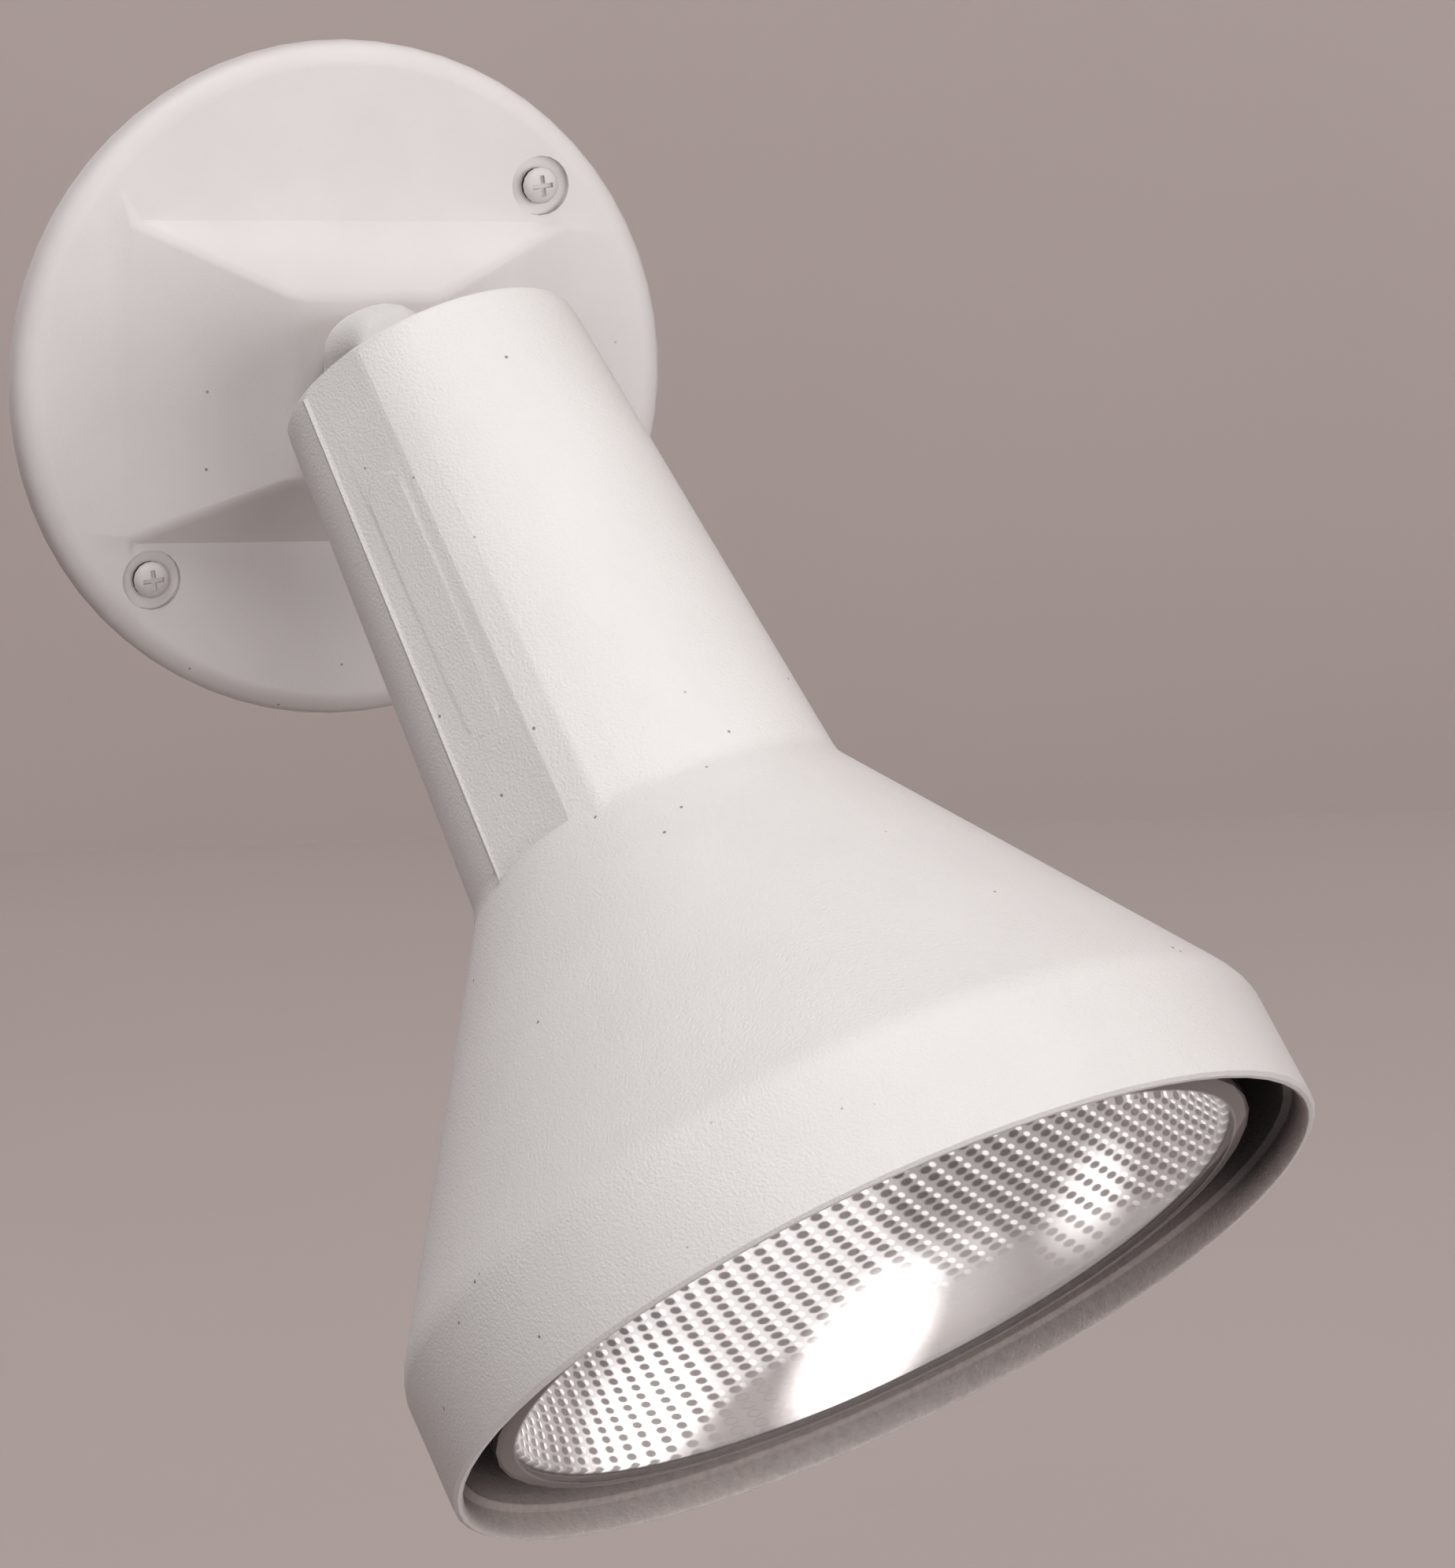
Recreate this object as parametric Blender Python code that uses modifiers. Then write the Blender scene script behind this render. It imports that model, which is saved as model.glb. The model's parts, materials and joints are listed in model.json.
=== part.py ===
"""Outdoor floodlight: a reflector lamp in a flared housing on a knuckle arm and a round box cover.

The cover lies on the wall plane Y = 0 and everything stands out towards -Y, with +Z up.
The origin is on the back face of the cover's rim at its highest point. All the lengths
below are millimetres and MM turns them into metres.
"""
import math

import bmesh
import bpy

MM = 0.001
ROUND_STEPS = 48
SMALL_STEPS = 20
SHARP_ANGLE = math.radians(32.0)

# Where the three axes are. The rim point that is the origin is this far above the cover's centre.
ORIGIN_RADIUS = 52.4
SWIVEL_ANGLE = math.radians(18.23)
TILT_ANGLE = math.radians(54.27)
PIVOT_HEIGHT = 57.78

# Cover
COVER_RADIUS = 54.0
COVER_DEPTH = 6.4
COVER_WALL = 2.4
PYRAMID_BASE_X = 36.4
PYRAMID_BASE_Y = 25.6
PYRAMID_ROOT = 1.6
PLATEAU_X = 11.85
PLATEAU_Y = 14.8
PLATEAU_HEIGHT = 17.2
PLATEAU_INSIDE = 14.7
STEM_HOLE_RADIUS = 6.9
BOX_SCREW_RADIUS = 44.6
BOX_SCREW_ANGLE = math.radians(44.8)
SCREW_WELL_RADIUS = 4.8
SCREW_WELL_FLOOR = 4.9
SCREW_HOLE_RADIUS = 2.4
SCREW_BOSS_RADIUS = 6.6
SCREW_BOSS_BACK = 1.5
SCREW_HEAD_RADIUS = 2.95
SCREW_HEAD_TOP = 7.8
SCREW_SHANK_RADIUS = 2.0

# Arm
STEM_RADIUS = 6.6
STEM_BACK = 2.5
BORE_RADIUS = 3.75
BORE_END = 45.0
COLLAR_RADIUS = 8.5
TONGUE_HALF = 6.2
TONGUE_END_RADIUS = 9.5
PIVOT_HOLE_RADIUS = 3.2

# Housing, by distance along the lamp's axis from the pivot
NECK_REAR = -8.1
NECK_REAR_RADIUS = 24.1
NECK_INSIDE_RADIUS = 20.7
NECK_END = 76.66
NECK_END_RADIUS = 30.05
CONE_END = 136.93
CONE_END_RADIUS = 68.65
MOUTH = 156.42
MOUTH_RADIUS = 69.06
LEDGE = 151.7
BULKHEAD_BACK = 10.6
BULKHEAD_FRONT = 13.0
CLEVIS_FACE = 7.5
CLEVIS_RADIUS = 8.0
SLOT_HALF = 7.0
SLOT_END = 10.2
FLAT_FROM = 22.6
FLAT_TO = 53.0
PAD_LOW = 11.2
PAD_HIGH = 57.5
PAD_HALF = 4.0
PAD_RAISED = 0.2
PAD_DRAFT = 0.5
PAD_SHIFT = -0.8
# Bars along the neck: the corners of each are degrees up from its side and distance from its surface.
LABEL_FLAT = ((FLAT_FROM, 0.02), (FLAT_TO, 0.02), (50.0, 6.0), (25.0, 6.0))
UNDER_FLAT = ((-33.0, -0.6), (-3.0, -0.6), (0.0, 6.0), (-36.0, 6.0))
SPINE_EDGE = ((52.5, -1.2), (53.3, 0.1), (62.8, 0.45), (74.0, -0.02), (72.0, -1.2))
FLAT_EDGE = ((20.4, -0.8), (21.0, -0.02), (22.6, 0.26), (24.2, -0.22), (24.6, -0.8))

# Lamp, by the same distance
LAMP_TIP = 19.8
LAMP_SKIRT_TOP = 69.5
LAMP_RIM_RADIUS = 60.4
LAMP_RIM_TOP = 150.2
LAMP_CROWN = 155.6
LENS_THICKNESS = 2.2
BOWL_FOCUS = 9.625
BOWL_APEX = 59.6


def clear_scene():
    """Remove whatever the file starts with."""
    for item in list(bpy.data.objects):
        bpy.data.objects.remove(item, do_unlink=True)


def make_collection(name):
    """Return a new collection linked to the scene."""
    group = bpy.data.collections.new(name)
    bpy.context.scene.collection.children.link(group)
    return group


def paint(name, colour, metallic, roughness, alpha=1.0):
    """Return a Principled material."""
    material = bpy.data.materials.new(name)
    material.use_nodes = True
    shader = material.node_tree.nodes["Principled BSDF"]
    shader.inputs["Base Color"].default_value = (*colour, 1.0)
    shader.inputs["Metallic"].default_value = metallic
    shader.inputs["Roughness"].default_value = roughness
    shader.inputs["Alpha"].default_value = alpha
    return material


def link(name, data, group, parent=None):
    """Make an object from its data, in a collection and under a parent."""
    item = bpy.data.objects.new(name, data)
    group.objects.link(item)
    item.parent = parent
    return item


def smooth(mesh):
    """Shade a mesh smooth but for its sharp edges."""
    mesh.shade_smooth()
    mesh.set_sharp_from_angle(angle=SHARP_ANGLE)


def turned(name, profile, group, parent, closed=True, steps=ROUND_STEPS):
    """Turn a profile of (radius, height) points about the parent's Z axis.

    The points run down the outer side first. An open profile starts and ends on the axis, and
    two neighbours that are both on the axis are left unjoined.
    """
    mesh = bpy.data.meshes.new(name)
    points = [(radius * MM, 0.0, height * MM) for radius, height in profile]
    edges = [(i, i + 1) for i in range(len(points) - 1)]
    if closed:
        edges.append((len(points) - 1, 0))
    edges = [(i, j) for i, j in edges if profile[i][0] or profile[j][0]]
    mesh.from_pydata(points, edges, [])
    item = link(name, mesh, group, parent)
    screw = item.modifiers.new("turn", "SCREW")
    screw.axis = "Z"
    screw.angle = math.tau
    screw.steps = steps
    screw.render_steps = steps
    screw.use_merge_vertices = True
    screw.merge_threshold = 0.00001
    screw.use_smooth_shade = True
    return item


def settled(item, sharp=True):
    """Turn an object's live modifiers into its own mesh, kept in place."""
    graph = bpy.context.evaluated_depsgraph_get()
    mesh = bpy.data.meshes.new_from_object(item.evaluated_get(graph))
    item.modifiers.clear()
    old = item.data
    item.data = mesh
    mesh.name = old.name
    if sharp:
        smooth(mesh)
    return item


def lofted(name, rings, group, parent):
    """Skin a run of rings, each a list of (x, y, z) points, and close both ends."""
    mesh = bpy.data.meshes.new(name)
    count = len(rings[0])
    points = [(x * MM, y * MM, z * MM) for ring in rings for x, y, z in ring]
    faces = []
    for k in range(len(rings) - 1):
        for i in range(count):
            j = (i + 1) % count
            faces.append((k * count + i, k * count + j, (k + 1) * count + j, (k + 1) * count + i))
    last = (len(rings) - 1) * count
    faces.append(tuple(reversed(range(count))))
    faces.append(tuple(last + i for i in range(count)))
    mesh.from_pydata(points, [], faces)
    form = bmesh.new()
    form.from_mesh(mesh)
    bmesh.ops.recalc_face_normals(form, faces=form.faces)
    form.to_mesh(mesh)
    form.free()
    return link(name, mesh, group, parent)


def cylinder(name, radius, low, high, group, parent, place=(0.0, 0.0), axis="Z", steps=SMALL_STEPS):
    """A cylinder along Z or X between two positions, its centre line at place."""
    mesh = bpy.data.meshes.new(name)
    form = bmesh.new()
    bmesh.ops.create_cone(
        form, cap_ends=True, segments=steps,
        radius1=radius * MM, radius2=radius * MM, depth=(high - low) * MM,
    )
    form.to_mesh(mesh)
    form.free()
    item = link(name, mesh, group, parent)
    middle = 0.5 * (low + high) * MM
    if axis == "Z":
        item.location = (place[0] * MM, place[1] * MM, middle)
    else:
        item.location = (middle, place[0] * MM, place[1] * MM)
        item.rotation_euler = (0.0, math.radians(90.0), 0.0)
    return item


def box(name, low, high, group, parent):
    """A box between two corners."""
    mesh = bpy.data.meshes.new(name)
    form = bmesh.new()
    bmesh.ops.create_cube(form, size=1.0)
    size = [(high[i] - low[i]) * MM for i in range(3)]
    bmesh.ops.scale(form, vec=size, verts=form.verts)
    form.to_mesh(mesh)
    form.free()
    item = link(name, mesh, group, parent)
    item.location = [0.5 * (low[i] + high[i]) * MM for i in range(3)]
    return item


def frustum(name, base, top, low, high, group, parent, bevel=0.0):
    """A four-sided frustum: a cube whose top is drawn in, with its slant edges rounded."""
    item = box(name, (-base[0], -base[1], low), (base[0], base[1], high), group, parent)
    for vertex in item.data.vertices:
        if vertex.co.z > 0.0:
            vertex.co.x *= top[0] / base[0]
            vertex.co.y *= top[1] / base[1]
    if bevel:
        edge = item.modifiers.new("rounding", "BEVEL")
        edge.width = bevel * MM
        edge.segments = 3
        edge.limit_method = "ANGLE"
        edge.angle_limit = math.radians(15.0)
    return item


def combine(item, other, operation):
    """Add a live exact Boolean to an object."""
    step = item.modifiers.new(operation.lower(), "BOOLEAN")
    step.operation = operation
    step.solver = "EXACT"
    step.object = other
    other.hide_render = True
    other.display_type = "WIRE"


def rounded_section(half_x, half_y, radius, height, per_corner=6):
    """A rounded rectangle ring at a height."""
    ring = []
    for corner in range(4):
        sign_x = (1, -1, -1, 1)[corner]
        sign_y = (1, 1, -1, -1)[corner]
        start = corner * 90.0
        for k in range(per_corner):
            angle = math.radians(start + 90.0 * k / (per_corner - 1))
            x = sign_x * (half_x - radius) + radius * math.cos(angle)
            y = sign_y * (half_y - radius) + radius * math.sin(angle)
            ring.append((x, y, height))
    return ring


def finish(item, material):
    """Shade the object and give it its material."""
    item.data.materials.clear()
    item.data.materials.append(material)


def neck_radius(height):
    """Outer radius of the neck at a distance from the pivot."""
    share = (height - NECK_REAR) / (NECK_END - NECK_REAR)
    return NECK_REAR_RADIUS + share * (NECK_END_RADIUS - NECK_REAR_RADIUS)


def bowl_height(radius):
    """Height of the lamp bowl's outer paraboloid at a radius."""
    return BOWL_APEX + radius * radius / (4.0 * BOWL_FOCUS)


def screw_place(sign):
    """Centre of one box screw in the cover's own plane."""
    x = sign * BOX_SCREW_RADIUS * math.cos(BOX_SCREW_ANGLE)
    y = sign * BOX_SCREW_RADIUS * math.sin(BOX_SCREW_ANGLE)
    return x, y


def build_cover_plate(parts, tools, axis, white):
    """Dished round cover with a rolled rim, a raised pyramid and two screw wells."""
    profile = [
        (0.0, COVER_DEPTH), (50.2, COVER_DEPTH), (51.6, 6.1), (52.9, 5.3), (53.7, 4.1),
        (COVER_RADIUS, 2.6), (COVER_RADIUS, 0.4), (53.6, 0.0), (51.2, 0.0),
        (51.2, COVER_DEPTH - COVER_WALL - 0.5), (50.7, COVER_DEPTH - COVER_WALL),
        (0.0, COVER_DEPTH - COVER_WALL),
    ]
    plate = turned("cover_plate", profile, parts, axis, closed=False, steps=64)
    # The pyramid is rooted in the plate's wall, so its base is larger than where it comes out.
    share = PYRAMID_ROOT / (PLATEAU_HEIGHT - COVER_DEPTH)
    root_x = PYRAMID_BASE_X + share * (PYRAMID_BASE_X - PLATEAU_X)
    root_y = PYRAMID_BASE_Y + share * (PYRAMID_BASE_Y - PLATEAU_Y)
    raised = frustum(
        "pyramid_outside", (root_x, root_y), (PLATEAU_X, PLATEAU_Y),
        COVER_DEPTH - PYRAMID_ROOT, PLATEAU_HEIGHT, tools, axis, bevel=1.3,
    )
    combine(plate, raised, "UNION")
    for sign, side in ((1, "upper"), (-1, "lower")):
        boss = cylinder(
            "box_screw_boss_" + side, SCREW_BOSS_RADIUS, SCREW_BOSS_BACK, COVER_DEPTH - 1.0,
            tools, axis, screw_place(sign),
        )
        combine(plate, boss, "UNION")
    inner_low = COVER_DEPTH - COVER_WALL - 0.4
    hollow = frustum(
        "pyramid_inside", (PYRAMID_BASE_X - 2.6, PYRAMID_BASE_Y - 2.2),
        (PLATEAU_X - 1.2, PLATEAU_Y - 1.4), inner_low, PLATEAU_INSIDE, tools, axis,
    )
    combine(plate, hollow, "DIFFERENCE")
    hole = cylinder("stem_hole", STEM_HOLE_RADIUS, 12.0, 20.0, tools, axis)
    combine(plate, hole, "DIFFERENCE")
    for sign, side in ((1, "upper"), (-1, "lower")):
        place = screw_place(sign)
        well = cylinder("screw_well_" + side, SCREW_WELL_RADIUS, SCREW_WELL_FLOOR, 8.0, tools, axis, place)
        combine(plate, well, "DIFFERENCE")
        through = cylinder("screw_hole_" + side, SCREW_HOLE_RADIUS, 0.0, 8.0, tools, axis, place)
        combine(plate, through, "DIFFERENCE")
    settled(plate)
    finish(plate, white)


def build_cover_gasket(parts, tools, axis, foam):
    """Flat foam ring that lies inside the rim and seals on the wall box."""
    profile = [(50.8, 1.2), (50.8, 0.0), (36.5, 0.0), (36.5, 1.2)]
    ring = turned("cover_gasket", profile, parts, axis)
    for sign, side in ((1, "upper"), (-1, "lower")):
        hole = cylinder("gasket_hole_" + side, 2.9, -1.0, 3.0, tools, axis, screw_place(sign))
        combine(ring, hole, "DIFFERENCE")
    settled(ring)
    finish(ring, foam)


def build_box_screws(parts, tools, axis, white, rubber):
    """Two pan head machine screws with a sealing washer under each head."""
    for sign, side in ((1, "upper"), (-1, "lower")):
        place = screw_place(sign)
        washer_profile = [(2.85, 5.75), (2.85, 5.2), (2.25, 5.2), (2.25, 5.75)]
        washer = turned("screw_seal_" + side, washer_profile, parts, axis, steps=16)
        washer.location = (place[0] * MM, place[1] * MM, 0.0)
        settled(washer)
        finish(washer, rubber)
        profile = [
            (0.0, SCREW_HEAD_TOP), (1.2, 7.7), (2.2, 7.4), (2.75, 6.9),
            (SCREW_HEAD_RADIUS, 6.3), (SCREW_HEAD_RADIUS - 0.1, 6.05), (SCREW_SHANK_RADIUS, 6.05),
            (SCREW_SHANK_RADIUS, 0.9),
            (1.4, 0.3), (0.0, 0.3),
        ]
        screw = turned("cover_screw_" + side, profile, parts, axis, closed=False, steps=16)
        screw.location = (place[0] * MM, place[1] * MM, 0.0)
        for turn in (0.0, 90.0):
            name = "cross_recess_" + side + "_" + str(int(turn))
            blade = box(name, (-1.7, -0.38, -1.0), (1.7, 0.38, 1.0), tools, axis)
            blade.location = (place[0] * MM, place[1] * MM, SCREW_HEAD_TOP * MM)
            blade.rotation_euler = (0.0, 0.0, math.radians(turn + 8.0))
            combine(screw, blade, "DIFFERENCE")
        settled(screw)
        finish(screw, white)


def build_stem_seal(parts, axis, rubber):
    """Flat seal between the cover's pad and the arm's collar."""
    profile = [(8.2, 18.4), (8.2, 17.6), (7.0, 17.6), (7.0, 18.4)]
    seal = settled(turned("stem_seal", profile, parts, axis, steps=24))
    finish(seal, rubber)


def build_swivel_arm(parts, tools, axis, white):
    """Cast arm: round stem and collar, swelling shoulder, and a flat tongue with a round end."""
    round_off = 0.01
    # Half width, half length, corner radius, height and shift towards the upper side.
    sections = (
        (STEM_RADIUS, STEM_RADIUS, STEM_RADIUS - round_off, STEM_BACK, 0.0),
        (STEM_RADIUS, STEM_RADIUS, STEM_RADIUS - round_off, 18.69, 0.0),
        (COLLAR_RADIUS, COLLAR_RADIUS, COLLAR_RADIUS - round_off, 18.7, 0.0),
        (COLLAR_RADIUS, COLLAR_RADIUS, COLLAR_RADIUS - round_off, 20.3, 0.0),
        (7.1, 10.4, 6.3, 20.9, 0.6),
        (7.3, 12.2, 6.3, 23.0, 1.0),
        (7.0, 12.9, 6.2, 27.0, 1.5),
        (6.6, 13.0, 6.0, 31.0, 2.2),
        (TONGUE_HALF, 12.6, 5.4, 35.0, 2.9),
        (TONGUE_HALF, 12.0, 4.6, 38.0, 2.8),
        (TONGUE_HALF, 10.6, 3.0, 40.6, 1.3),
        (TONGUE_HALF, TONGUE_END_RADIUS, 0.8, 43.0, 0.0),
        (TONGUE_HALF, TONGUE_END_RADIUS, 0.8, PIVOT_HEIGHT, 0.0),
    )
    rings = []
    for half_x, half_y, radius, height, shift in sections:
        ring = rounded_section(half_x, half_y, radius, height)
        rings.append([(x, y + shift, z) for x, y, z in ring])
    arm = lofted("swivel_arm", rings, parts, axis)
    end = cylinder(
        "tongue_end", TONGUE_END_RADIUS, -TONGUE_HALF, TONGUE_HALF, tools, axis,
        (0.0, PIVOT_HEIGHT), axis="X", steps=40,
    )
    combine(arm, end, "UNION")
    bore = cylinder("lead_bore", BORE_RADIUS, STEM_BACK - 1.0, BORE_END, tools, axis)
    combine(arm, bore, "DIFFERENCE")
    port = box(
        "lead_port", (-BORE_RADIUS + 0.4, -16.0, BORE_END - 7.4), (BORE_RADIUS - 0.4, 0.0, BORE_END - 0.3),
        tools, axis,
    )
    combine(arm, port, "DIFFERENCE")
    hole = cylinder(
        "pivot_hole", PIVOT_HOLE_RADIUS, -9.0, 9.0, tools, axis, (0.0, PIVOT_HEIGHT), axis="X",
    )
    combine(arm, hole, "DIFFERENCE")
    settled(arm)
    finish(arm, white)


def build_stem_nut(parts, tools, axis, steel):
    """Lock washer and hexagonal nut behind the cover."""
    washer_profile = [(10.2, 14.4), (10.2, 13.4), (6.9, 13.4), (6.9, 14.4)]
    washer = settled(turned("stem_lock_washer", washer_profile, parts, axis, steps=24))
    finish(washer, steel)
    nut = cylinder("stem_locknut", 12.6, 9.2, 13.1, parts, axis, steps=6)
    hole = cylinder("locknut_bore", 6.9, 8.0, 14.0, tools, axis)
    combine(nut, hole, "DIFFERENCE")
    settled(nut)
    finish(nut, steel)


def housing_profile():
    """Closed profile of the one-piece housing: neck, cone and skirt, then the inside."""
    slope = (CONE_END_RADIUS - NECK_END_RADIUS) / (CONE_END - NECK_END)
    low = NECK_END + 1.6
    high = CONE_END - 2.4
    outside = [
        (68.5, MOUTH), (MOUTH_RADIUS, MOUTH - 0.5), (68.75, 139.0), (68.5, 137.6), (67.9, 136.2),
        (NECK_END_RADIUS + slope * (high - NECK_END), high),
        (NECK_END_RADIUS + slope * (low - NECK_END), low),
        (NECK_END_RADIUS + 0.25, NECK_END + 0.2),
        (neck_radius(NECK_END - 1.6), NECK_END - 1.6),
        (neck_radius(NECK_REAR + 3.0), NECK_REAR + 3.0),
        (NECK_REAR_RADIUS - 0.1, NECK_REAR + 0.8), (NECK_REAR_RADIUS - 0.45, NECK_REAR + 0.2),
        (NECK_REAR_RADIUS - 1.0, NECK_REAR),
    ]
    inside = [
        (NECK_INSIDE_RADIUS + 0.2, NECK_REAR), (NECK_INSIDE_RADIUS, NECK_REAR + 0.3),
        (NECK_INSIDE_RADIUS, BULKHEAD_BACK), (5.2, BULKHEAD_BACK),
        (5.2, BULKHEAD_FRONT), (22.3, BULKHEAD_FRONT), (26.4, 66.0), (24.6, 66.2), (24.6, 68.0),
        (26.9, 68.0), (27.5, 76.4), (29.6, 80.6), (64.6, 135.4), (65.9, 138.4), (66.0, LEDGE),
        (67.1, LEDGE + 0.7), (67.4, MOUTH - 0.5), (67.8, MOUTH),
    ]
    return outside + inside


def neck_strip(name, pairs, low, high, tools, axis):
    """A tapering bar along the neck: its corners are (angle, distance from the neck's surface)."""
    rings = []
    for height in (low, high):
        ring = []
        for degrees, offset in pairs:
            radius = neck_radius(height) + offset
            angle = math.radians(degrees)
            ring.append((radius * math.cos(angle), radius * math.sin(angle), height))
        rings.append(ring)
    return lofted(name, rings, tools, axis)


def on_left(bar):
    """The corners of a bar on the neck's left side."""
    return [(180.0 - degrees, offset) for degrees, offset in bar]


def label_pad(name, tools, axis):
    """A bare raised pad with round ends that lies on the label flat."""
    half_span = math.radians(0.5 * (FLAT_TO - FLAT_FROM))
    facing = math.radians(180.0 - 0.5 * (FLAT_FROM + FLAT_TO))
    steps = 8
    outline = []
    for centre, start in ((PAD_HIGH - PAD_HALF, 0.0), (PAD_LOW + PAD_HALF, 180.0)):
        for k in range(steps + 1):
            angle = math.radians(start + 180.0 * k / steps)
            outline.append((centre, math.cos(angle), math.sin(angle)))
    rings = []
    for lift, half in ((-0.7, PAD_HALF + 0.25), (0.0, PAD_HALF), (PAD_RAISED, PAD_HALF - PAD_DRAFT)):
        ring = []
        for centre, cosine, sine in outline:
            across = PAD_SHIFT + half * cosine
            height = centre + half * sine
            depth = neck_radius(height) * math.cos(half_span) + lift
            x = depth * math.cos(facing) - across * math.sin(facing)
            y = depth * math.sin(facing) + across * math.cos(facing)
            ring.append((x, y, height))
        rings.append(ring)
    return lofted(name, rings, tools, axis)


def shape_neck(shell, tools, axis):
    """Cut and raise the lengthwise lines of the neck; the label's flat is on the left side only."""
    low = NECK_REAR - 4.0
    high = NECK_END - 0.3
    for name, bar in (("under_flat_right", UNDER_FLAT), ("under_flat_left", on_left(UNDER_FLAT))):
        combine(shell, neck_strip(name, bar, low, high, tools, axis), "DIFFERENCE")
    flat = neck_strip("label_flat", on_left(LABEL_FLAT), low, high, tools, axis)
    combine(shell, flat, "DIFFERENCE")
    for name, bar in (("spine_edge", SPINE_EDGE), ("flat_edge", FLAT_EDGE)):
        line = neck_strip(name, on_left(bar), NECK_REAR + 1.4, NECK_END + 0.4, tools, axis)
        combine(shell, line, "UNION")
    combine(shell, label_pad("label_pad", tools, axis), "UNION")


def build_head_housing(parts, tools, axis, white):
    """One moulded shell with a slotted neck, clevis bosses, bulkhead, cone and skirt."""
    shell = turned("head_housing", housing_profile(), parts, axis, steps=64)
    for side, sign in (("right", 1.0), ("left", -1.0)):
        ends = sorted((sign * CLEVIS_FACE, sign * 21.6))
        boss = cylinder(
            "clevis_boss_" + side, CLEVIS_RADIUS, ends[0], ends[1], tools, axis, axis="X", steps=32,
        )
        combine(shell, boss, "UNION")
    shape_neck(shell, tools, axis)
    slot = box("arm_slot", (-SLOT_HALF, -40.0, NECK_REAR - 5.0), (SLOT_HALF, 0.0, SLOT_END), tools, axis)
    combine(shell, slot, "DIFFERENCE")
    bolt = cylinder("pivot_bore", 3.1, -15.0, 30.0, tools, axis, axis="X")
    combine(shell, bolt, "DIFFERENCE")
    recess = cylinder("head_recess", 5.6, 18.0, 30.0, tools, axis, axis="X")
    combine(shell, recess, "DIFFERENCE")
    for side, sign in (("right", 1.0), ("left", -1.0)):
        hole = cylinder("socket_screw_hole_" + side, 1.7, 9.0, 15.0, tools, axis, (sign * 9.2, 0.0))
        combine(shell, hole, "DIFFERENCE")
    settled(shell)
    finish(shell, white)


def build_knuckle(parts, tools, axis, steel, rubber):
    """Pivot screw from the right side and a friction washer on either side of the tongue."""
    screw = cylinder("knuckle_screw", 2.8, -14.4, 19.0, parts, axis, axis="X")
    head = cylinder("knuckle_screw_head", 5.1, 18.3, 21.4, tools, axis, axis="X", steps=28)
    combine(screw, head, "UNION")
    socket = cylinder("hex_recess", 2.6, 19.4, 23.0, tools, axis, axis="X", steps=6)
    combine(screw, socket, "DIFFERENCE")
    settled(screw)
    finish(screw, steel)
    for side, sign in (("right", 1.0), ("left", -1.0)):
        ends = sorted((sign * 6.5, sign * 7.2))
        washer = cylinder("friction_washer_" + side, 7.6, ends[0], ends[1], parts, axis, axis="X", steps=24)
        hole = cylinder("friction_washer_hole_" + side, 3.2, -9.0, 9.0, tools, axis, axis="X")
        combine(washer, hole, "DIFFERENCE")
        settled(washer)
        finish(washer, rubber)


def build_socket(parts, tools, axis, porcelain, brass, steel, rubber):
    """Porcelain lampholder on the bulkhead with its shell, contact, screws and lead grommet."""
    body_profile = [
        (22.0, 62.0), (22.0, 45.5), (18.0, 41.5), (18.0, 13.3), (3.6, 13.3), (3.6, 17.0),
        (14.35, 17.0), (14.35, 44.4), (20.3, 46.2), (20.3, 62.0),
    ]
    body = turned("socket_body", body_profile, parts, axis, steps=36)
    for side, sign in (("right", 1.0), ("left", -1.0)):
        hole = cylinder("socket_body_hole_" + side, 1.7, 12.0, 18.0, tools, axis, (sign * 9.2, 0.0))
        combine(body, hole, "DIFFERENCE")
        profile = [
            (0.0, 19.2), (1.6, 19.0), (2.5, 18.3), (2.6, 17.3), (1.4, 17.3), (1.4, 11.4), (0.0, 11.4),
        ]
        screw = turned("socket_screw_" + side, profile, parts, axis, closed=False, steps=16)
        screw.location = (sign * 9.2 * MM, 0.0, 0.0)
        settled(screw)
        finish(screw, steel)
    settled(body)
    finish(body, porcelain)
    shell_profile = [(14.05, 43.0), (14.05, 20.0), (13.45, 20.0), (13.45, 43.0)]
    shell = settled(turned("socket_shell", shell_profile, parts, axis, steps=32))
    finish(shell, brass)
    grommet_profile = [
        (6.4, 10.3), (6.4, 9.85), (2.9, 9.85), (2.9, 13.0), (4.9, 13.0), (4.9, 10.3),
    ]
    grommet = settled(turned("lead_grommet", grommet_profile, parts, axis, steps=16))
    finish(grommet, rubber)
    outline = [
        (7.6, 17.3), (7.6, 17.8), (1.4, 17.8), (-1.2, 19.4), (-2.2, 19.4), (-5.0, 18.2),
        (-4.8, 17.8), (-2.1, 18.9), (-1.4, 18.9), (1.1, 17.3),
    ]
    curve = bpy.data.curves.new("socket_contact", "CURVE")
    curve.dimensions = "2D"
    curve.fill_mode = "BOTH"
    curve.extrude = 2.5 * MM
    path = curve.splines.new("POLY")
    path.points.add(len(outline) - 1)
    for point, (x, y) in zip(path.points, outline):
        point.co = (x * MM, y * MM, 0.0, 1.0)
    path.use_cyclic_u = True
    contact = link("socket_contact", curve, parts, axis)
    contact.rotation_euler = (math.radians(90.0), 0.0, math.radians(90.0))
    finish(contact, brass)


def build_lamp_gasket(parts, axis, rubber):
    """Rubber ring on the neck's ledge that fits the back of the lamp."""
    profile = [(26.9, 74.2), (26.5, 68.3), (20.4, 68.3), (22.0, 71.0), (24.3, 74.2)]
    ring = settled(turned("lamp_gasket", profile, parts, axis, steps=40))
    finish(ring, rubber)


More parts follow.
